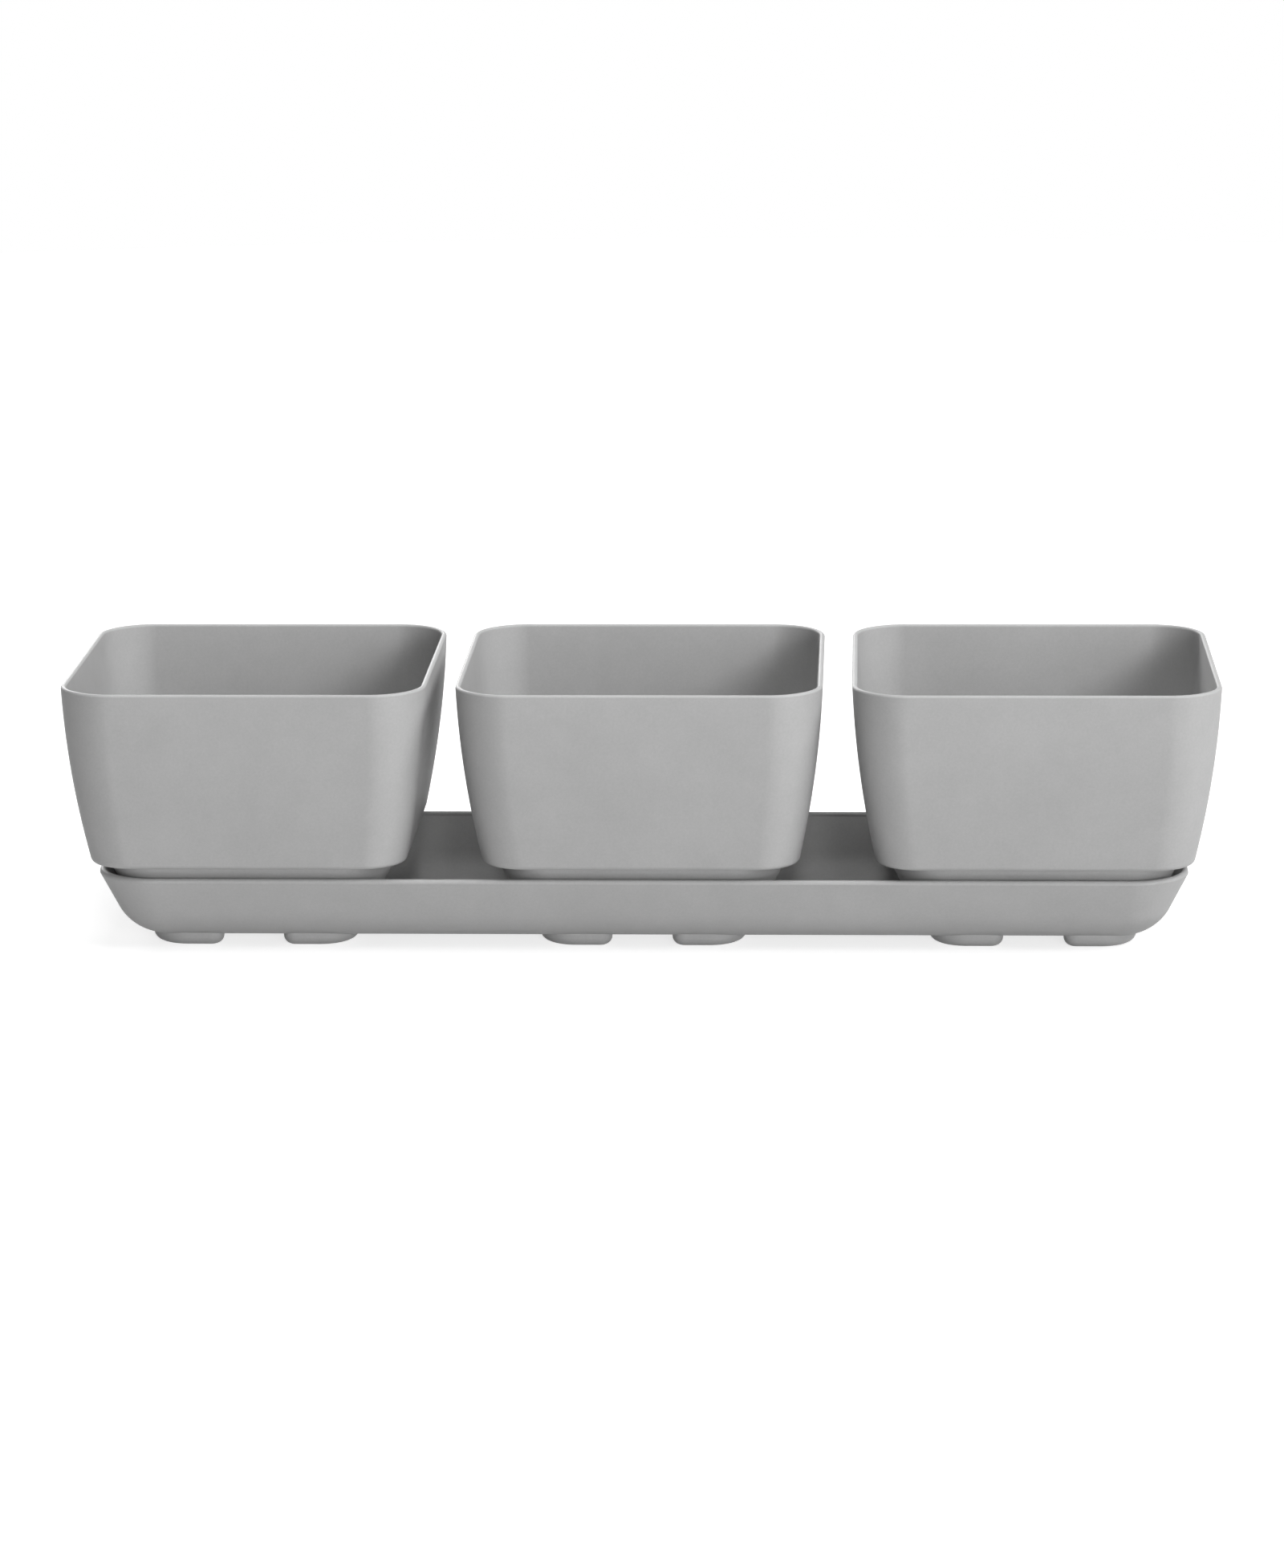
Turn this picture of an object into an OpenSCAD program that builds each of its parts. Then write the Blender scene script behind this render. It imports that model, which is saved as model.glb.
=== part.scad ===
// Indoor herb planter: three square pots with rounded corners that stand on one long drip tray.
// Millimetres. The origin is on the surface that the planter stands on, under the middle pot.
// +X runs along the row of pots, +Y towards the back, +Z up.

/* [Pots] */
// Outside width of a pot at its rim
pot_w = 126.5; // [115:0.5:140]
// Height of a pot from the tray floor to its rim
pot_h = 90; // [80:0.5:110]
// Clear distance between the rims of neighbouring pots
pot_gap = 10; // [4:0.5:20]
// Thickness of a pot's wall and floor
pot_wall = 1.8; // [1.4:0.1:2.4]
// Corner radius of a pot at its rim
rim_corner_r = 19; // [15:0.5:24]
// Corner radius of a pot at its shoulder
shoulder_corner_r = 15; // [12:0.5:20]
// How much further in the wall is at the shoulder than at the rim, on each side
wall_taper = 8.3; // [4:0.1:10]
// How far the wall bows out at half its height
wall_belly = 1.4; // [0:0.1:3]
// Rounding of the wall's lower edge outside
edge_r = 2; // [1.5:0.1:3.5]
// Rounding of the wall's lower edge inside the pot
edge_inner_r = 1; // [0.8:0.1:2]

/* [Pot foot] */
// Height of a pot's shoulder over the tray's rim
shoulder_gap = 4.1; // [2:0.1:10]
// Width of the flat shoulder between the rounded edge and the foot
shoulder_flat = 2.5; // [0.5:0.1:4]
// Smallest corner radius of the foot
base_corner_r = 4; // [3:0.5:8]
// Width of the ring that the pot stands on
stand_ring_w = 3; // [2:0.5:5]
// Height of the floor's underside over the tray floor
floor_lift = 2.5; // [1.5:0.1:4]
// Width of each drainage notch in the standing ring
notch_w = 12; // [6:1:20]
// Diameter of a drainage hole
drain_d = 6; // [4:0.5:8]
// Distance of the outer drainage holes from the inside of the standing ring
drain_margin = 10; // [6:0.5:12]

/* [Tray] */
// Height of the tray from its underside to its rim
tray_h = 24.5; // [22:0.5:30]
// Thickness of the tray's wall and floor
tray_wall = 2; // [1.6:0.1:2.6]
// Clearance between a pot's foot and the front and back of the tray
nest_gap = 2.2; // [1:0.1:4]
// Clearance between an outer pot's foot and the end of the tray
end_gap = 3.2; // [1:0.1:12]
// Corner radius of the tray at its rim
tray_corner_r = 21; // [16:0.5:26]
// Corner radius of the tray's flat underside
tray_base_corner_r = 3; // [2:0.5:6]
// Angle of the tray's wall, and of the pot foot inside it, from the vertical
flare = 26; // [20:1:32]
// Outside radius of the bend from the tray's wall into its underside
tray_bend_r = 18.5; // [15:0.5:22]
// Height of the upright band at the tray's rim, with its rounded top
tray_band_h = 1.6; // [1.4:0.1:3]

/* [Tray feet] */
// Height of the feet under the tray
feet_h = 3.4; // [2.5:0.1:6]
// How far a ring of feet reaches past the tray's flat underside
feet_reach = 6.5; // [3:0.1:6.5]
// Width of a foot across its band
foot_band = 9; // [8:0.5:10]
// Distance between two feet of a ring
feet_gap = 21; // [14:1:26]
// Outside radius where a foot goes round its corner
feet_corner_r = 13; // [12:0.5:14]
// Rounding of a foot's lower edge
foot_edge_r = 3; // [1:0.1:3.2]
// Thickness of the plastic under and beside the pocket in a foot
foot_skin = 2; // [1.6:0.1:2.2]
// Rounding at the bottom of the pocket in a foot
pocket_r = 1; // [0.5:0.1:1.2]

/* [Hidden] */

// Steps in each quarter turn of an outline, in each bend, in each lip and up the bowed wall
corner_steps = 8;
bend_steps = 5;
lip_steps = 2;
wall_steps = 7;
foot_turn_steps = 4;
foot_edge_steps = 3;

// How far a cut reaches past the face that it opens
overlap = 1;

pot_pitch = pot_w + pot_gap;
tray_floor_z = feet_h + tray_wall;
shoulder_z = tray_h - tray_wall + shoulder_gap;
wall_drop = pot_h - shoulder_z;

// How far the bowed wall leans from the vertical at its lower edge
edge_draft = atan((wall_taper + 4 * wall_belly) / wall_drop);

// Pot foot: a flat base, a bend that follows the tray's inside, and a flared wall up to the shoulder
foot_bend_r = tray_bend_r - tray_wall;
foot_bend_top = foot_bend_r * (1 - sin(flare));
foot_top_half = edge_centre(0, edge_r) - shoulder_flat;
foot_base_half = foot_top_half - (shoulder_z - foot_bend_top) * tan(flare) - foot_bend_r * cos(flare);
pot_floor_z = floor_lift + pot_wall;
pot_floor_angle = asin((foot_bend_r - pot_floor_z) / (foot_bend_r - pot_wall));

// Tray profile: how far the flat underside is inset from the rim, all round
tray_flare_h = tray_h - tray_band_h - tray_bend_r * (1 - sin(flare));
tray_inset = tray_flare_h * tan(flare) + tray_bend_r * cos(flare);
tray_band_wall = tray_wall / cos(flare);
tray_half_w = foot_base_half + nest_gap + tray_inset;
tray_half_l = pot_pitch + foot_base_half + end_gap + tray_inset;

// Ring of four feet under each pot
feet_ring_half = foot_base_half + nest_gap + feet_reach;

// Half width and corner radius of the bowed wall, with t from 0 at the rim to 1 at the shoulder
function wall_half(t) = pot_w / 2 - wall_taper * t + 4 * wall_belly * t * (1 - t);
function wall_corner(t) = rim_corner_r + (shoulder_corner_r - rim_corner_r) * t;

// Where the rounding of the lower edge, on a face that lies skin inside the outer one, runs into the wall
function edge_end(skin, r) = 1 - (skin + r * (1 - sin(edge_draft))) / wall_drop;
function edge_centre(skin, r) = wall_half(edge_end(skin, r)) - skin - r * cos(edge_draft);

// Corner radius of the tray for an inset from its rim
function tray_corner(inset) = tray_corner_r - (tray_corner_r - tray_base_corner_r) * inset / tray_inset;

// Corner radius of the pot foot for its half width, so that it keeps clear of the tray's corner beside it
function foot_corner(half) =
    let (out = nest_gap + tray_band_wall)
    max(base_corner_r, tray_corner(tray_half_w - half - out) - out);

// One level of a loft: a rounded rectangle at a height, as 3D points
function level(half_x, half_y, r, z) = [
    for (quarter = [0:3], step = [0:corner_steps])
        let (
            turn = 90 * (quarter + step / corner_steps),
            side_x = quarter == 0 || quarter == 3 ? 1 : -1,
            side_y = quarter < 2 ? 1 : -1
        )
        [side_x * (half_x - r) + r * cos(turn), side_y * (half_y - r) + r * sin(turn), z]
];
function pot_level(half, r, z) = level(half, half, r, z);
function tray_level(inset, z) = level(tray_half_l - inset, tray_half_w - inset, tray_corner(inset), z);

// Solid through a stack of levels that all have the same even number of points, closed flat at both ends.
// Each end is a strip of triangles across the outline from its first point to the one half way round.
module loft(levels) {
    count = len(levels[0]);
    last = (len(levels) - 1) * count;
    strip = [
        [0, 1, count - 1],
        for (i = [1:count / 2 - 1]) [i, i + 1, count - i],
        for (i = [1:count / 2 - 2]) [i + 1, count - i - 1, count - i]
    ];
    sides = [
        for (row = [0:len(levels) - 2], i = [0:count - 1])
            let (
                a = row * count + i,
                b = row * count + (i + 1) % count
            )
            each [[a, a + count, b], [b, a + count, b + count]]
    ];
    last_cap = [for (face = strip) [last + face[2], last + face[1], last + face[0]]];
    polyhedron(points = [for (l = levels) each l], faces = concat(strip, sides, last_cap), convexity = 6);
}

// Bend of the pot foot on a face that lies skin inside the outer one, from an angle up to the flared wall
function foot_levels(skin, start_angle) = [
    for (step = [0:bend_steps])
        let (
            angle = start_angle - (start_angle - flare) * step / bend_steps,
            half = foot_base_half + (foot_bend_r - skin) * cos(angle),
            z = foot_bend_r - (foot_bend_r - skin) * sin(angle)
        )
        pot_level(half, foot_corner(half) - min(skin, base_corner_r / 2), z)
];

// Rounded lower edge of the bowed wall, from the shoulder outwards
function edge_levels(skin, r) = [
    for (step = [0:bend_steps])
        let (
            angle = 90 - (90 - edge_draft) * step / bend_steps,
            half = edge_centre(skin, r) + r * cos(angle),
            z = shoulder_z + skin + r * (1 - sin(angle))
        )
        pot_level(half, wall_corner(1) - (wall_half(edge_end(skin, r)) - half), z)
];

// Bowed wall between the rounded edge and the lip, moved in by skin, from the bottom up
function wall_levels(skin, start) = [
    for (step = [1:wall_steps])
        let (
            t_lip = pot_wall / 2 / wall_drop,
            t = start + (t_lip - start) * step / wall_steps
        )
        pot_level(wall_half(t) - skin, wall_corner(t) - skin, pot_h - wall_drop * t)
];

// Rounded top of the pot's wall, from outside to inside
function lip_levels() = [
    for (step = [1:2 * lip_steps - 1])
        let (
            angle = 90 * step / lip_steps,
            lip_r = pot_wall / 2,
            inset = lip_r * (1 - cos(angle))
        )
        pot_level(wall_half(lip_r / wall_drop) - inset, rim_corner_r - inset, pot_h - lip_r * (1 - sin(angle)))
];

function reversed(list) = [for (i = [len(list) - 1:-1:0]) list[i]];

// One pot, standing on z = 0
module pot() {
    foot_top = pot_level(foot_top_half, foot_corner(foot_top_half), shoulder_z);
    foot_top_inside = pot_level(
        foot_top_half - pot_wall / cos(flare) + pot_wall * tan(flare),
        foot_corner(foot_top_half) - pot_wall,
        shoulder_z + pot_wall
    );
    difference() {
        loft([
            each foot_levels(0, 90),
            foot_top,
            each edge_levels(0, edge_r),
            each wall_levels(0, edge_end(0, edge_r)),
            each lip_levels(),
            each reversed(wall_levels(pot_wall, edge_end(pot_wall, edge_inner_r))),
            each reversed(edge_levels(pot_wall, edge_inner_r)),
            foot_top_inside,
            each reversed(foot_levels(pot_wall, pot_floor_angle))
        ]);
        base_recess();
        drain_holes();
    }
}

// Hollow under the floor inside the standing ring, with a notch through the ring on each side
module base_recess() {
    recess_half = foot_base_half - stand_ring_w;
    recess_r = base_corner_r - stand_ring_w / 2;
    notch_reach = foot_base_half + foot_bend_r;
    loft([
        pot_level(recess_half, recess_r, -overlap),
        pot_level(recess_half, recess_r, floor_lift)
    ]);
    for (side = [0, 90])
        rotate(side)
            translate([-notch_w / 2, -notch_reach, -overlap])
                cube([notch_w, 2 * notch_reach, floor_lift + overlap]);
}

// Drainage holes through the floor: one in the middle and one towards each corner
module drain_holes() {
    out = foot_base_half - stand_ring_w - drain_margin;
    places = [[0, 0], for (x = [-1, 1], y = [-1, 1]) [x * out, y * out]];
    for (place = places)
        translate([place.x, place.y, floor_lift - overlap])
            cylinder(h = pot_wall + 2 * overlap, d = drain_d, $fn = 48);
}

// Outline of one tray foot at the corner of its ring, moved in by inset, from the middle of its first tip
function foot_outline(inset, z) =
    let (
        corner = feet_ring_half - feet_corner_r,
        mid = feet_ring_half - foot_band / 2,
        tip = feet_gap / 2 + foot_band / 2,
        n = foot_turn_steps
    )
    concat(
        turn_points([mid, tip], foot_band / 2 - inset, 270, 360, n / 2, z),
        turn_points([corner, corner], feet_corner_r - inset, 0, 90, n, z),
        turn_points([tip, mid], foot_band / 2 - inset, 90, 270, n, z),
        turn_points([corner, corner], feet_corner_r - foot_band + inset, 90, 0, n, z),
        turn_points([mid, tip], foot_band / 2 - inset, 180, 270 - 180 / n, n / 2 - 1, z)
    );
function turn_points(centre, r, from, to, n, z) = [
    for (i = [0:n])
        let (angle = from + (to - from) * i / n)
        [centre.x + r * cos(angle), centre.y + r * sin(angle), z]
];

// One foot with a rounded lower edge. Its top lies inside the plastic of the tray's floor
module tray_foot() {
    loft([
        for (step = [0:foot_edge_steps])
            let (angle = 90 - 90 * step / foot_edge_steps)
            foot_outline(foot_edge_r * (1 - cos(angle)), foot_edge_r * (1 - sin(angle))),
        foot_outline(0, feet_h + 0.75 * tray_wall)
    ]);
}

// Pocket that cores a foot from above, open to the tray's inside
module foot_pocket() {
    loft([
        for (step = [0:foot_edge_steps])
            let (angle = 90 - 90 * step / foot_edge_steps)
            foot_outline(foot_skin + pocket_r * (1 - cos(angle)), foot_skin + pocket_r * (1 - sin(angle))),
        foot_outline(foot_skin, tray_floor_z + tray_wall + overlap)
    ]);
}

// Copies of its children at the four corners of the ring under each pot
module at_feet() {
    for (place = [-1:1], turn = [0:90:270])
        translate([place * pot_pitch, 0, 0])
            rotate(turn)
                children();
}

// Levels round the tray's bend, on a face that lies skin inside the outer one
function tray_face_levels(skin) = [
    for (step = [0:bend_steps])
        let (angle = 90 - (90 - flare) * step / bend_steps)
        tray_level(
            tray_inset - (tray_bend_r - skin) * cos(angle),
            feet_h + tray_bend_r - (tray_bend_r - skin) * sin(angle)
        )
];

// Upright band and rounded top of the tray's rim, from outside to inside
function tray_rim_levels() = [
    for (step = [0:2 * lip_steps])
        let (
            angle = 90 * step / lip_steps,
            lip_r = tray_band_wall / 2,
            inset = lip_r * (1 - cos(angle))
        )
        tray_level(inset, feet_h + tray_h - lip_r * (1 - sin(angle)))
];

// The drip tray with its feet
module tray() {
    band_z = feet_h + tray_h - tray_band_h;
    color([0.66, 0.66, 0.66])
        difference() {
            union() {
                loft([
                    each tray_face_levels(0),
                    tray_level(0, band_z),
                    each tray_rim_levels(),
                    tray_level(tray_band_wall, band_z),
                    each reversed(tray_face_levels(tray_wall))
                ]);
                at_feet() tray_foot();
            }
            at_feet() foot_pocket();
        }
}

// A pot in its place in the row, counted from the middle one
module pot_at(place) {
    color([0.68, 0.68, 0.68])
        translate([place * pot_pitch, 0, tray_floor_z])
            pot();
}

module pot_left() { pot_at(-1); }
module pot_middle() { pot_at(0); }
module pot_right() { pot_at(1); }

tray();
pot_left();
pot_middle();
pot_right();
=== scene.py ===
"""Indoor herb planter: three square pots with rounded corners on one long drip tray, with finishes and stage.

The pots and the tray are modelled as closed mouldings over the fixed frame, in metres. +X runs along the row
of pots, +Y towards the back and +Z up. The origin is on the surface that the planter stands on, under the
middle pot.
"""

import math

import bmesh
import bpy
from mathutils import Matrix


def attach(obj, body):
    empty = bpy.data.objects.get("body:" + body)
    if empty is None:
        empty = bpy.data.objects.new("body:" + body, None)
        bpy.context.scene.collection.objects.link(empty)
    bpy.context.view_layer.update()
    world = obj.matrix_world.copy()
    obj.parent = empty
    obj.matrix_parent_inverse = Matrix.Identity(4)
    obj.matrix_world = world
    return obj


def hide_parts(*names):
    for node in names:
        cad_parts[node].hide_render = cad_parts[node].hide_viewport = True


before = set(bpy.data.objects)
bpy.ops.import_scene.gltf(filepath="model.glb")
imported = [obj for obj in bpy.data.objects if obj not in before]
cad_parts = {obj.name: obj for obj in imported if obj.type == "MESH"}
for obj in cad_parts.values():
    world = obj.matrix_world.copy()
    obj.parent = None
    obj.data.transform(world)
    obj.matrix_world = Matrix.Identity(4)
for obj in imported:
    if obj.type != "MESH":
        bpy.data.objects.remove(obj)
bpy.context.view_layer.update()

bl_info = {
    "name": "Indoor Herb Planter",
    "version": (1, 0, 0),
    "blender": (4, 5, 0),
    "location": "3D View > Sidebar > Planter",
    "description": "Models three square pots on a drip tray, with their plastic and a studio stage",
    "category": "Add Mesh",
}

MM = 0.001
POT_PLACES = {"pot_left": -1, "pot_middle": 0, "pot_right": 1}

# How finely curves are drawn
CORNER_SEGMENTS = 20
LIP_STEPS = 8
WALL_STEPS = 14
CREASE_DEGREES = 35

# Where the photograph was taken from, in metres and degrees, and how far the paper floor reaches
CAMERA_PLACE = (0.0766, -1.7784, 0.4597)
CAMERA_TURN = (77.04, 0.456, 2.398)
FLOOR_RADIUS = 2


# Colour and nodes

def linear(hex_colour):
    """Linear RGBA of an sRGB colour such as "#A8A8A8"."""
    channels = [int(hex_colour[i:i + 2], 16) / 255 for i in (1, 3, 5)]
    return [c / 12.92 if c <= 0.04045 else ((c + 0.055) / 1.055) ** 2.4 for c in channels] + [1.0]


def add_node(tree, kind, settings=None, links=None):
    """Adds a node, sets its attributes and sockets by name, and links its inputs to other nodes' outputs."""
    node = tree.nodes.new(kind)
    for name, value in (settings or {}).items():
        if name in node.bl_rna.properties:
            setattr(node, name, value)
        else:
            node.inputs[name].default_value = value
    for name, source in (links or {}).items():
        tree.links.new(source, node.inputs[name])
    return node


# Sizes and colours

def length(name, description, millimetres, low=0.0, high=1000.0):
    return bpy.props.FloatProperty(
        name=name,
        description=description,
        default=millimetres * MM,
        min=low * MM,
        max=high * MM,
        subtype="DISTANCE",
        unit="LENGTH",
    )


def colour(name, description, hex_colour):
    return bpy.props.FloatVectorProperty(
        name=name, description=description, default=linear(hex_colour), size=4, min=0, max=1, subtype="COLOR"
    )


def power(name, description, watts):
    return bpy.props.FloatProperty(name=name, description=description, default=watts, min=0, unit="POWER")


class PlanterPotSizes(bpy.types.PropertyGroup):
    """Sizes of one pot"""

    width: length("Rim width", "Outside width at the rim", 126.5, 115, 140)
    height: length("Height", "From the tray's floor to the rim", 90, 80, 110)
    pitch: length("Pitch", "Distance from one pot's middle to the next", 136.5, 119, 160)
    wall: length("Wall", "Thickness of the wall and floor", 1.8, 1.4, 2.4)
    rim_corner: length("Rim corner", "Corner radius at the rim", 19, 15, 24)
    shoulder_corner: length("Shoulder corner", "Corner radius at the shoulder", 15, 12, 20)
    taper: length("Taper", "How much further in the wall is at the shoulder than at the rim", 8.3, 4, 10)
    belly: length("Belly", "How far the wall bows out at half its height", 1.4, 0, 3)
    edge: length("Lower edge", "Rounding of the wall's lower edge outside", 2, 1.5, 3.5)
    inner_edge: length("Inner edge", "Rounding of the wall's lower edge inside the pot", 1, 0.8, 2)
    shoulder_height: length("Shoulder height", "From the tray's floor to the shoulder", 26.6, 22, 40)
    shoulder_flat: length("Shoulder flat", "Width of the flat shoulder beside the foot", 2.5, 0.5, 4)
    foot_corner: length("Foot corner", "Smallest corner radius of the foot", 4, 3, 8)
    ring: length("Standing ring", "Width of the ring that the pot stands on", 3, 2, 5)
    lift: length("Floor lift", "Height of the floor's underside over the tray", 2.5, 1.5, 4)
    notch: length("Notch", "Width of each drainage notch in the standing ring", 12, 6, 20)
    drain: length("Drain hole", "Diameter of a drainage hole", 6, 4, 8)
    drain_margin: length("Drain margin", "From an outer hole's middle to the standing ring", 10, 6, 12)


class PlanterTraySizes(bpy.types.PropertyGroup):
    """Sizes of the drip tray and its feet"""

    height: length("Height", "From the tray's underside to its rim", 24.5, 22, 30)
    wall: length("Wall", "Thickness of the wall and floor", 2, 1.6, 2.6)
    nest: length("Side clearance", "Between a pot's foot and the tray's front and back", 2.2, 1, 4)
    end: length("End clearance", "Between an outer pot's foot and the tray's end", 3.2, 1, 12)
    corner: length("Rim corner", "Corner radius at the rim", 21, 16, 26)
    base_corner: length("Base corner", "Corner radius of the flat underside", 3, 2, 6)
    flare: bpy.props.FloatProperty(
        name="Flare",
        description="Angle of the tray's wall, and of the pot's foot inside it, from the vertical",
        default=math.radians(26),
        min=math.radians(20),
        max=math.radians(32),
        subtype="ANGLE",
    )
    bend: length("Bend", "Outside radius of the bend into the underside", 18.5, 15, 22)
    band: length("Rim band", "Height of the upright band at the rim", 1.6, 1.4, 3)
    feet_height: length("Feet height", "How far the feet stand out under the tray", 3.4, 2.5, 6)
    feet_reach: length("Feet reach", "How far a ring of feet reaches past the flat underside", 6.5, 3, 6.5)
    foot_band: length("Foot band", "Width of a foot across its band", 9, 8, 10)
    feet_gap: length("Feet gap", "Distance between two feet of a ring", 21, 14, 26)
    foot_corner: length("Foot corner", "Outside radius where a foot goes round its corner", 13, 12, 14)
    foot_edge: length("Foot edge", "Rounding of a foot's lower edge", 3, 1, 3.2)
    foot_skin: length("Foot skin", "Plastic under and beside the pocket in a foot", 2, 1.6, 2.2)
    pocket_edge: length("Pocket edge", "Rounding at the bottom of the pocket", 1, 0.5, 1.2)


class PlanterFinish(bpy.types.PropertyGroup):
    """Colours of the plastic"""

    pot_colour: colour("Pot colour", "Colour of the pots' plastic", "#ACACAC")
    tray_colour: colour("Tray colour", "Colour of the tray's plastic", "#ACACAC")


class PlanterStage(bpy.types.PropertyGroup):
    """Floor, light and camera"""

    floor_colour: colour("Floor colour", "Colour of the paper floor", "#BFBFBF")
    glow: bpy.props.FloatProperty(
        name="Floor glow",
        description="What the camera sees added to the floor, to make it white",
        default=0.74,
        min=0,
        max=1,
        subtype="FACTOR",
    )
    front_power: power("Front softbox", "Power of the low softbox behind the camera", 69)
    key_power: power("Key softbox", "Power of the softbox at the right front", 73)
    top_power: power("Top softbox", "Power of the softbox overhead", 73)
    back_power: power("Back softbox", "Power of the low softbox behind the planter", 70)
    distance: length("Softbox distance", "From the planter to each softbox", 3600, 2000, 6000)
    softbox: length("Softbox side", "Side of each square softbox", 1400, 200, 3000)
    lens: bpy.props.FloatProperty(
        name="Lens", description="Focal length for a 36 mm sensor", default=118.44, min=20, unit="CAMERA"
    )


# Modelling by hand

def begin(name):
    """Adds a plane as the start of a new piece and goes into edit mode with nothing selected."""
    bpy.ops.object.select_all(action="DESELECT")
    bpy.ops.mesh.primitive_plane_add(size=2, location=(0, 0, 0))
    piece = bpy.context.object
    piece.name = piece.data.name = name
    bpy.ops.object.mode_set(mode="EDIT")
    bpy.ops.mesh.delete(type="VERT")
    return piece


def end():
    """Turns all faces outwards and goes back to object mode."""
    bpy.ops.mesh.select_all(action="SELECT")
    bpy.ops.mesh.normals_make_consistent(inside=False)
    bpy.ops.object.mode_set(mode="OBJECT")


def select_points(piece, wanted):
    """Selects the points whose place passes the test, with the edges and faces between them."""
    bpy.ops.mesh.select_all(action="DESELECT")
    bpy.ops.mesh.select_mode(type="VERT")
    mesh = bmesh.from_edit_mesh(piece.data)
    for vertex in mesh.verts:
        vertex.select = wanted(vertex.co)
    mesh.select_flush_mode()
    bmesh.update_edit_mesh(piece.data)


def make_active(piece):
    bpy.ops.object.select_all(action="DESELECT")
    piece.select_set(True)
    bpy.context.view_layer.objects.active = piece


def apply_modifier(piece, kind, settings):
    make_active(piece)
    modifier = piece.modifiers.new(kind.lower(), kind)
    for name, value in settings.items():
        setattr(modifier, name, value)
    bpy.ops.object.modifier_apply(modifier=modifier.name)


def combine(piece, other, operation):
    """Adds the other closed shape to the piece, or cuts it out, and deletes it."""
    apply_modifier(piece, "BOOLEAN", {"operation": operation, "object": other, "solver": "EXACT"})
    bpy.data.objects.remove(other)


def smooth(piece, degrees):
    """Smooth shading with crisp edges. Large flat faces keep their own normals."""
    make_active(piece)
    bpy.ops.object.shade_smooth_by_angle(angle=math.radians(degrees))
    apply_modifier(piece, "WEIGHTED_NORMAL", {"keep_sharp": True, "weight": 100})


def add_outline(level, segments):
    """Adds a rounded rectangle: a plane, resized, with its corners rounded and its face taken out."""
    half_x, half_y, radius, z = level
    bpy.ops.mesh.select_all(action="DESELECT")
    bpy.ops.mesh.primitive_plane_add(size=2, location=(0, 0, z))
    bpy.ops.transform.resize(value=(half_x, half_y, 1), center_override=(0, 0, z))
    bpy.ops.mesh.bevel(offset=radius, segments=segments, profile=0.5, affect="VERTICES", clamp_overlap=False)
    bpy.ops.mesh.delete(type="ONLY_FACE")


def on_outline(level):
    """Test for a point that lies on a rounded rectangle."""
    half_x, half_y, radius, z = level

    def wanted(point):
        if abs(point.z - z) > 0.001 * MM:
            return False
        x, y = abs(point.x) - half_x + radius, abs(point.y) - half_y + radius
        away = math.hypot(max(x, 0), max(y, 0)) + min(max(x, y), 0) - radius
        return abs(away) < 0.02 * MM

    return wanted


def stack(name, levels, segments):
    """Closed solid through a stack of rounded rectangles: outlines one over the other, bridged and capped."""
    piece = begin(name)
    for level in levels:
        add_outline(level, segments)
    for lower, upper in zip(levels, levels[1:]):
        on_lower, on_upper = on_outline(lower), on_outline(upper)
        select_points(piece, lambda point: on_lower(point) or on_upper(point))
        bpy.ops.mesh.bridge_edge_loops()
    for level in (levels[0], levels[-1]):
        select_points(piece, on_outline(level))
        bpy.ops.mesh.edge_face_add()
    end()
    return piece


def block(name, centre, size):
    """A plain box, as a cutter."""
    bpy.ops.object.select_all(action="DESELECT")
    bpy.ops.mesh.primitive_cube_add(size=1, location=centre)
    piece = bpy.context.object
    piece.name = name
    bpy.ops.object.mode_set(mode="EDIT")
    bpy.ops.transform.resize(value=size, center_override=centre)
    bpy.ops.object.mode_set(mode="OBJECT")
    return piece


def move_points(piece, offset):
    """Moves a piece's mesh, so that its object stays at the origin."""
    make_active(piece)
    bpy.ops.object.mode_set(mode="EDIT")
    bpy.ops.mesh.select_all(action="SELECT")
    bpy.ops.transform.translate(value=offset)
    bpy.ops.object.mode_set(mode="OBJECT")


# Pot

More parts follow.
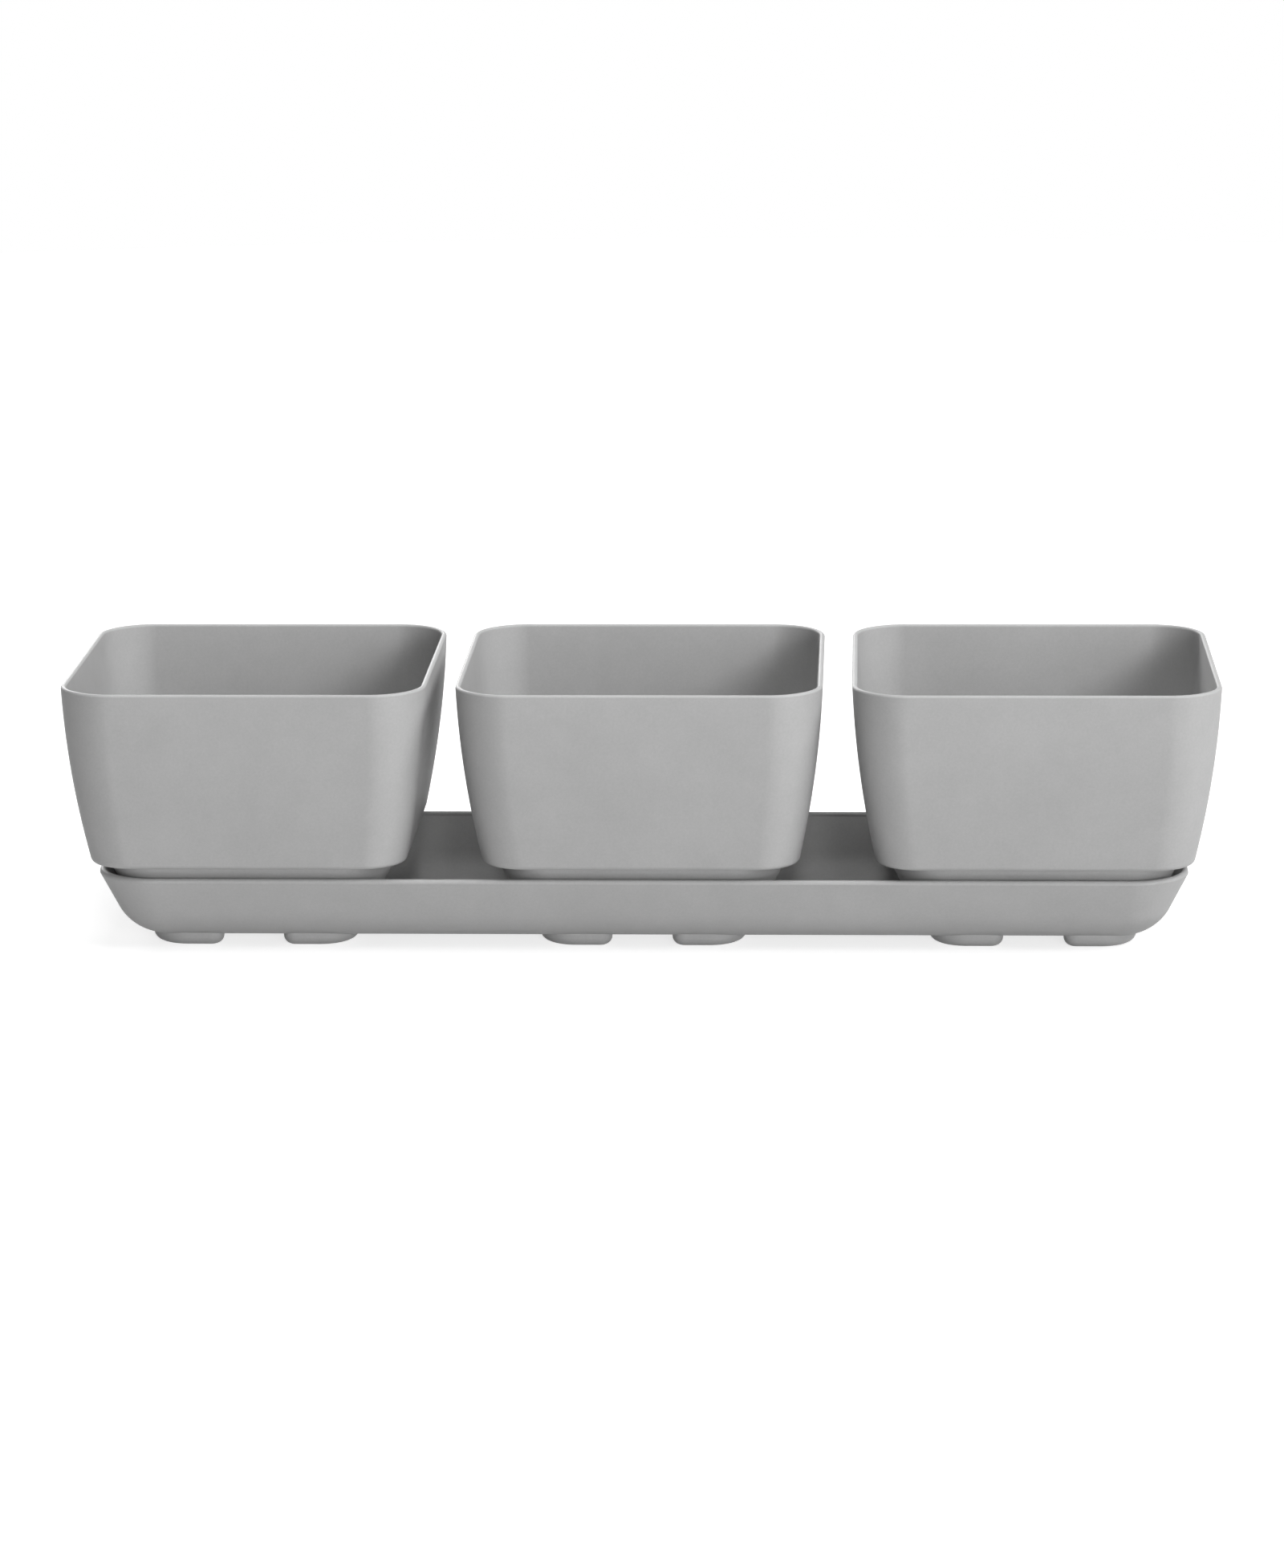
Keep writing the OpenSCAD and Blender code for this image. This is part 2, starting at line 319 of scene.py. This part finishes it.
def pot_profile(pot, tray):
    """Levels of the pot's skin from its base, up the outside, over the lip and down the inside."""
    flare = tray.flare
    drop = pot.height - pot.shoulder_height

    def wall_half(t):
        return pot.width / 2 - pot.taper * t + 4 * pot.belly * t * (1 - t)

    def wall_corner(t):
        return pot.rim_corner + (pot.shoulder_corner - pot.rim_corner) * t

    draft = math.atan((pot.taper + 4 * pot.belly) / drop)

    def edge_end(skin, radius):
        """Where the lower edge's rounding meets the wall, on a face that lies skin inside the outer one."""
        return 1 - (skin + radius * (1 - math.sin(draft))) / drop

    def edge_centre(skin, radius):
        return wall_half(edge_end(skin, radius)) - skin - radius * math.cos(draft)

    bend = tray.bend - tray.wall
    bend_top = bend * (1 - math.sin(flare))
    foot_top = edge_centre(0, pot.edge) - pot.shoulder_flat
    foot_base = foot_top - (pot.shoulder_height - bend_top) * math.tan(flare) - bend * math.cos(flare)
    rim_inset, tray_half, _ = tray_reach(tray, foot_base, pot.pitch)
    beside = tray.nest + tray.wall / math.cos(flare)

    def foot_corner(half):
        return max(pot.foot_corner, tray_corner(tray, tray_half - half - beside, rim_inset) - beside)

    def foot(skin, start, steps):
        levels = []
        for step in range(steps + 1):
            angle = start - (start - flare) * step / steps
            half = foot_base + (bend - skin) * math.cos(angle)
            radius = foot_corner(half) - min(skin, pot.foot_corner / 2)
            levels.append((half, half, radius, bend - (bend - skin) * math.sin(angle)))
        return levels

    def edge(skin, radius, steps):
        levels = []
        for step in range(steps + 1):
            angle = math.pi / 2 - (math.pi / 2 - draft) * step / steps
            half = edge_centre(skin, radius) + radius * math.cos(angle)
            corner = wall_corner(1) - (wall_half(edge_end(skin, radius)) - half)
            levels.append((half, half, corner, pot.shoulder_height + skin + radius * (1 - math.sin(angle))))
        return levels

    def wall(skin, start, steps):
        levels = []
        lip_t = pot.wall / 2 / drop
        for step in range(1, steps + 1):
            t = start + (lip_t - start) * step / steps
            half = wall_half(t) - skin
            levels.append((half, half, wall_corner(t) - skin, pot.height - drop * t))
        return levels

    def lip(steps):
        levels = []
        lip_r = pot.wall / 2
        for step in range(1, steps):
            angle = math.pi * step / steps
            inset = lip_r * (1 - math.cos(angle))
            half = wall_half(lip_r / drop) - inset
            levels.append((half, half, pot.rim_corner - inset, pot.height - lip_r * (1 - math.sin(angle))))
        return levels

    # Two bridged outlines never lie at the same height, so the flat shoulder has a fall too small to see
    fall = 0.05 * MM
    floor_angle = math.asin((bend - pot.lift - pot.wall) / (bend - pot.wall))
    inner_half = foot_top - pot.wall / math.cos(flare) + pot.wall * math.tan(flare)
    return foot_base, [
        *foot(0, math.pi / 2, 12),
        (foot_top, foot_top, foot_corner(foot_top), pot.shoulder_height - fall),
        *edge(0, pot.edge, 8),
        *wall(0, edge_end(0, pot.edge), WALL_STEPS),
        *lip(LIP_STEPS),
        *reversed(wall(pot.wall, edge_end(pot.wall, pot.inner_edge), WALL_STEPS)),
        *reversed(edge(pot.wall, pot.inner_edge, 6)),
        (inner_half, inner_half, foot_corner(foot_top) - pot.wall, pot.shoulder_height + pot.wall - fall),
        *reversed(foot(pot.wall, floor_angle, 10)),
    ]


class PlanterAddPots(bpy.types.Operator):
    """Model one pot and put a copy in each of its three places on the tray"""

    bl_idname = "planter.add_pots"
    bl_label = "Add Pots"
    bl_options = {"REGISTER", "UNDO"}

    def execute(self, context):
        pot, tray = context.scene.planter_pot, context.scene.planter_tray
        foot_base, levels = pot_profile(pot, tray)
        piece = stack("pot", levels, CORNER_SEGMENTS)

        # Recess under the floor, a notch through the standing ring on each side, and five drainage holes
        under = -MM
        recess = foot_base - pot.ring
        recess_corner = pot.foot_corner - pot.ring / 2
        recess_levels = [(recess, recess, recess_corner, z) for z in (under, pot.lift)]
        combine(piece, stack("recess", recess_levels, 8), "DIFFERENCE")
        reach = 2 * (foot_base + tray.bend)
        for size in ((pot.notch, reach), (reach, pot.notch)):
            notch = block("notch", (0, 0, (under + pot.lift) / 2), (*size, pot.lift - under))
            combine(piece, notch, "DIFFERENCE")
        out = recess - pot.drain_margin
        for x, y in ((0, 0), (-out, -out), (-out, out), (out, -out), (out, out)):
            bpy.ops.object.select_all(action="DESELECT")
            middle = (x, y, pot.lift + pot.wall / 2)
            bpy.ops.mesh.primitive_cylinder_add(
                vertices=48, radius=pot.drain / 2, depth=3 * pot.wall, location=middle
            )
            combine(piece, context.object, "DIFFERENCE")

        smooth(piece, CREASE_DEGREES)
        finish = context.scene.planter_finish
        piece.data.materials.clear()
        plastic = moulded_plastic("injection-moulded PP, fine matt, pots", finish.pot_colour)
        piece.data.materials.append(plastic)
        for node, place in POT_PLACES.items():
            make_active(piece)
            bpy.ops.object.duplicate()
            copy = context.object
            copy.name = copy.data.name = node + "_moulding"
            move_points(copy, (place * pot.pitch, 0, tray.feet_height + tray.wall))
            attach(copy, node)
            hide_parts(node)
        bpy.data.objects.remove(piece)
        return {"FINISHED"}


# Tray

def tray_reach(tray, foot_base, pitch):
    """How far the flat underside is inset from the rim, and the tray's half width and half length."""
    flare_height = tray.height - tray.band - tray.bend * (1 - math.sin(tray.flare))
    inset = flare_height * math.tan(tray.flare) + tray.bend * math.cos(tray.flare)
    return inset, foot_base + tray.nest + inset, pitch + foot_base + tray.end + inset


def tray_corner(tray, inset, rim_inset):
    return tray.corner - (tray.corner - tray.base_corner) * inset / rim_inset


def tray_profile(tray, foot_base, pitch):
    """Levels of the tray's skin from its underside, up the outside, over the lip and down the inside."""
    rim_inset, half_w, half_l = tray_reach(tray, foot_base, pitch)
    top = tray.feet_height + tray.height
    lip_r = tray.wall / math.cos(tray.flare) / 2

    def at(inset, z):
        return (half_l - inset, half_w - inset, tray_corner(tray, inset, rim_inset), z)

    def face(skin, steps):
        levels = []
        for step in range(steps + 1):
            angle = math.pi / 2 - (math.pi / 2 - tray.flare) * step / steps
            radius = tray.bend - skin
            z = tray.feet_height + tray.bend - radius * math.sin(angle)
            levels.append(at(rim_inset - radius * math.cos(angle), z))
        return levels

    def lip(steps):
        angles = [math.pi * step / steps for step in range(steps + 1)]
        return [at(lip_r * (1 - math.cos(a)), top - lip_r * (1 - math.sin(a))) for a in angles]

    return [
        *face(0, 14),
        at(0, top - tray.band),
        *lip(LIP_STEPS),
        at(2 * lip_r, top - tray.band),
        *reversed(face(tray.wall, 12)),
    ]


def foot_shape(name, tray, ring_half, inset, bottom, top, rounding):
    """An angled foot at the corner of its ring: an L of three faces, rounded, pulled up and rounded below."""
    outer = ring_half - inset
    inner = ring_half - tray.foot_band + inset
    tip = tray.feet_gap / 2 + inset
    width = outer - inner
    mid = (outer + inner) / 2
    near = 0.001 * MM
    piece = begin(name)
    bpy.ops.mesh.primitive_plane_add(size=width, location=(mid, mid, bottom))
    select_points(piece, lambda point: point.x < inner + near)
    bpy.ops.mesh.extrude_region_move(TRANSFORM_OT_translate={"value": (tip - inner, 0, 0)})
    select_points(piece, lambda point: point.y < inner + near and point.x > inner - near)
    bpy.ops.mesh.extrude_region_move(TRANSFORM_OT_translate={"value": (0, tip - inner, 0)})
    bpy.ops.mesh.select_all(action="SELECT")
    bpy.ops.mesh.dissolve_limited(angle_limit=math.radians(1))

    def round_corner(wanted, radius, segments):
        select_points(piece, wanted)
        bpy.ops.mesh.bevel(
            offset=radius, segments=segments, profile=0.5, affect="VERTICES", clamp_overlap=False
        )

    round_corner(lambda p: p.x > outer - near and p.y > outer - near, tray.foot_corner - inset, 12)
    round_corner(
        lambda p: abs(p.x - inner) < near and abs(p.y - inner) < near,
        tray.foot_corner - tray.foot_band + inset,
        8,
    )
    round_corner(lambda p: p.x < tip + near or p.y < tip + near, width / 2 - near, 8)
    bpy.ops.mesh.select_all(action="SELECT")
    bpy.ops.mesh.remove_doubles(threshold=3 * near)
    bpy.ops.mesh.select_all(action="SELECT")
    bpy.ops.mesh.extrude_region_move(TRANSFORM_OT_translate={"value": (0, 0, top - bottom)})
    select_points(piece, lambda point: point.z < bottom + near)
    bpy.ops.mesh.bevel(offset=rounding, segments=5, profile=0.5, affect="EDGES")
    end()
    return piece


def repeat_at_feet(piece, pitch):
    """Copies a foot to the four corners of its ring, and the ring to the place under each pot."""
    apply_modifier(piece, "MIRROR", {"use_axis": (True, True, False), "use_mirror_merge": False})
    move_points(piece, (-pitch, 0, 0))
    apply_modifier(
        piece,
        "ARRAY",
        {
            "count": len(POT_PLACES),
            "use_relative_offset": False,
            "use_constant_offset": True,
            "constant_offset_displace": (pitch, 0, 0),
        },
    )


class PlanterAddTray(bpy.types.Operator):
    """Model the long drip tray with its twelve hollow feet"""

    bl_idname = "planter.add_tray"
    bl_label = "Add Tray"
    bl_options = {"REGISTER", "UNDO"}

    def execute(self, context):
        pot, tray = context.scene.planter_pot, context.scene.planter_tray
        foot_base, _ = pot_profile(pot, tray)
        piece = stack("drip_tray_moulding", tray_profile(tray, foot_base, pot.pitch), CORNER_SEGMENTS)
        ring_half = foot_base + tray.nest + tray.feet_reach
        floor = tray.feet_height + tray.wall
        feet = foot_shape("feet", tray, ring_half, 0, 0, floor - tray.wall / 4, tray.foot_edge)
        over = floor + 3 * MM
        skin = tray.foot_skin
        pockets = foot_shape("pockets", tray, ring_half, skin, skin, over, tray.pocket_edge)
        for shape, operation in ((feet, "UNION"), (pockets, "DIFFERENCE")):
            repeat_at_feet(shape, pot.pitch)
            combine(piece, shape, operation)
        smooth(piece, CREASE_DEGREES)
        finish = context.scene.planter_finish
        piece.data.materials.clear()
        plastic = moulded_plastic("injection-moulded PP, fine matt, tray", finish.tray_colour)
        piece.data.materials.append(plastic)
        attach(piece, "tray")
        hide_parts("tray")
        return {"FINISHED"}


# Plastic

def moulded_plastic(name, base):
    """Polypropylene from a spark-eroded mould: dull and even, with faint clouds and a fine grain."""
    material = bpy.data.materials.new(name)
    material.use_nodes = True
    tree = material.node_tree
    shader = tree.nodes["Principled BSDF"]
    shader.inputs["IOR"].default_value = 1.49
    place = add_node(tree, "ShaderNodeTexCoord").outputs["Object"]

    # Clouds 8 to 25 mm across, where the pigment is a little thicker or thinner
    clouds = add_node(
        tree,
        "ShaderNodeTexNoise",
        {"Scale": 1 / (25 * MM), "Detail": 4.0, "Roughness": 0.7},
        {"Vector": place},
    )
    # Grain of the mould, 0.25 mm in the real one, drawn 0.8 mm across so that the render can show it
    grain = add_node(
        tree,
        "ShaderNodeTexNoise",
        {"Scale": 1 / (0.8 * MM), "Detail": 2.0, "Roughness": 0.6},
        {"Vector": place},
    )
    shade = add_node(
        tree,
        "ShaderNodeMapRange",
        {"From Min": 0.3, "From Max": 0.7, "To Min": 0.96, "To Max": 1.04},
        {"Value": clouds.outputs["Fac"]},
    )
    speckle = add_node(
        tree,
        "ShaderNodeMapRange",
        {"From Min": 0.3, "From Max": 0.7, "To Min": 0.965, "To Max": 1.035},
        {"Value": grain.outputs["Fac"]},
    )
    amount = add_node(tree, "ShaderNodeMath", {"operation": "MULTIPLY"})
    tree.links.new(shade.outputs["Result"], amount.inputs[0])
    tree.links.new(speckle.outputs["Result"], amount.inputs[1])
    tint = add_node(tree, "ShaderNodeVectorMath", {"operation": "SCALE"}, {"Scale": amount.outputs["Value"]})
    tint.inputs[0].default_value = base[:3]
    tree.links.new(tint.outputs["Vector"], shader.inputs["Base Color"])
    rough = add_node(
        tree,
        "ShaderNodeMapRange",
        {"From Min": 0.3, "From Max": 0.7, "To Min": 0.52, "To Max": 0.64},
        {"Value": grain.outputs["Fac"]},
    )
    tree.links.new(rough.outputs["Result"], shader.inputs["Roughness"])
    bump = add_node(
        tree, "ShaderNodeBump", {"Strength": 0.35, "Distance": 0.04 * MM}, {"Height": grain.outputs["Fac"]}
    )
    tree.links.new(bump.outputs["Normal"], shader.inputs["Normal"])
    return material


# Stage

def seen_directly(tree):
    """1 for rays from the camera, or by way of a gloss or a clear piece, and 0 for light on the object."""
    path = add_node(tree, "ShaderNodeLightPath")
    gloss = add_node(tree, "ShaderNodeMath", {"operation": "MAXIMUM"})
    tree.links.new(path.outputs["Is Camera Ray"], gloss.inputs[0])
    tree.links.new(path.outputs["Is Glossy Ray"], gloss.inputs[1])
    clear = add_node(tree, "ShaderNodeMath", {"operation": "MAXIMUM"})
    tree.links.new(gloss.outputs["Value"], clear.inputs[0])
    tree.links.new(path.outputs["Is Transmission Ray"], clear.inputs[1])
    return clear.outputs["Value"]


class PlanterAddStage(bpy.types.Operator):
    """Set up a pale floor, four softboxes, an even sky and the camera"""

    bl_idname = "planter.add_stage"
    bl_label = "Add Stage"
    bl_options = {"REGISTER", "UNDO"}

    def execute(self, context):
        stage = context.scene.planter_stage
        self.add_floor(context, stage)
        self.add_light(context, stage)
        self.add_camera(context, stage)
        context.scene.view_settings.view_transform = "Standard"
        return {"FINISHED"}

    def add_floor(self, context, stage):
        bpy.ops.object.select_all(action="DESELECT")
        bpy.ops.mesh.primitive_circle_add(
            vertices=96, radius=FLOOR_RADIUS, fill_type="NGON", location=(0, 0, 0)
        )
        floor = context.object
        floor.name = "studio_floor"
        material = bpy.data.materials.new("matt white paper floor")
        material.use_nodes = True
        tree = material.node_tree
        tree.nodes.clear()
        paper = add_node(tree, "ShaderNodeBsdfDiffuse", {"Color": stage.floor_colour})
        # To the camera the paper glows a little, so that it is white and still shows the object's soft shadow
        seen = add_node(
            tree, "ShaderNodeMapRange", {"To Min": 0, "To Max": stage.glow}, {"Value": seen_directly(tree)}
        )
        glow = add_node(
            tree, "ShaderNodeEmission", {"Color": linear("#FFFFFF")}, {"Strength": seen.outputs["Result"]}
        )
        white = add_node(tree, "ShaderNodeAddShader")
        tree.links.new(paper.outputs[0], white.inputs[0])
        tree.links.new(glow.outputs[0], white.inputs[1])
        add_node(tree, "ShaderNodeOutputMaterial", None, {"Surface": white.outputs[0]})
        floor.data.materials.append(material)

    def add_light(self, context, stage):
        world = bpy.data.worlds.new("even sky")
        world.use_nodes = True
        tree = world.node_tree
        tree.nodes.clear()
        # Black to the object's light, which comes from the softboxes alone, and white behind the floor's edge
        sky = add_node(
            tree, "ShaderNodeBackground", {"Color": linear("#FFFFFF")}, {"Strength": seen_directly(tree)}
        )
        add_node(tree, "ShaderNodeOutputWorld", None, {"Surface": sky.outputs[0]})
        context.scene.world = world
        for name, bearing, height, watts in (
            ("front_softbox", 20, 10, stage.front_power),
            ("key_softbox", 70, 35, stage.key_power),
            ("top_softbox", 0, 85, stage.top_power),
            ("back_softbox", 200, 20, stage.back_power),
        ):
            self.add_softbox(name, math.radians(bearing), math.radians(height), watts, stage)

    def add_softbox(self, name, bearing, height, watts, stage):
        """Adds a lamp that faces the planter, at a bearing from the front to +X and a height over it."""
        across = stage.distance * math.cos(height)
        place = (across * math.sin(bearing), -across * math.cos(bearing), stage.distance * math.sin(height))
        bpy.ops.object.light_add(type="AREA", location=place)
        lamp = bpy.context.object
        lamp.name = name
        lamp.data.energy = watts
        lamp.data.size = stage.softbox
        lamp.rotation_mode = "QUATERNION"
        lamp.rotation_quaternion = lamp.location.to_track_quat("Z", "Y")

    def add_camera(self, context, stage):
        bpy.ops.object.camera_add(location=CAMERA_PLACE)
        camera = context.object
        camera.name = "photo_camera"
        camera.data.lens = stage.lens
        camera.data.sensor_width = 36
        camera.rotation_mode = "XYZ"
        camera.rotation_euler = [math.radians(degrees) for degrees in CAMERA_TURN]
        context.scene.camera = camera


class PlanterPanel(bpy.types.Panel):
    """Sizes, colours and steps of the herb planter"""

    bl_idname = "VIEW3D_PT_planter"
    bl_label = "Herb Planter"
    bl_space_type = "VIEW_3D"
    bl_region_type = "UI"
    bl_category = "Planter"

    def draw(self, context):
        scene = context.scene
        for title, group in (
            ("Pots", scene.planter_pot),
            ("Tray", scene.planter_tray),
            ("Colours", scene.planter_finish),
            ("Stage", scene.planter_stage),
        ):
            box = self.layout.box()
            box.label(text=title)
            for name in group.__annotations__:
                box.prop(group, name)
        for operator in (PlanterAddTray, PlanterAddPots, PlanterAddStage):
            self.layout.operator(operator.bl_idname)


CLASSES = (
    PlanterPotSizes,
    PlanterTraySizes,
    PlanterFinish,
    PlanterStage,
    PlanterAddTray,
    PlanterAddPots,
    PlanterAddStage,
    PlanterPanel,
)


def register():
    for cls in CLASSES:
        bpy.utils.register_class(cls)
    bpy.types.Scene.planter_pot = bpy.props.PointerProperty(type=PlanterPotSizes)
    bpy.types.Scene.planter_tray = bpy.props.PointerProperty(type=PlanterTraySizes)
    bpy.types.Scene.planter_finish = bpy.props.PointerProperty(type=PlanterFinish)
    bpy.types.Scene.planter_stage = bpy.props.PointerProperty(type=PlanterStage)


def unregister():
    for name in ("planter_pot", "planter_tray", "planter_finish", "planter_stage"):
        delattr(bpy.types.Scene, name)
    for cls in reversed(CLASSES):
        bpy.utils.unregister_class(cls)


def main():
    register()
    bpy.ops.planter.add_tray()
    bpy.ops.planter.add_pots()
    bpy.ops.planter.add_stage()


if __name__ == "__main__":
    main()
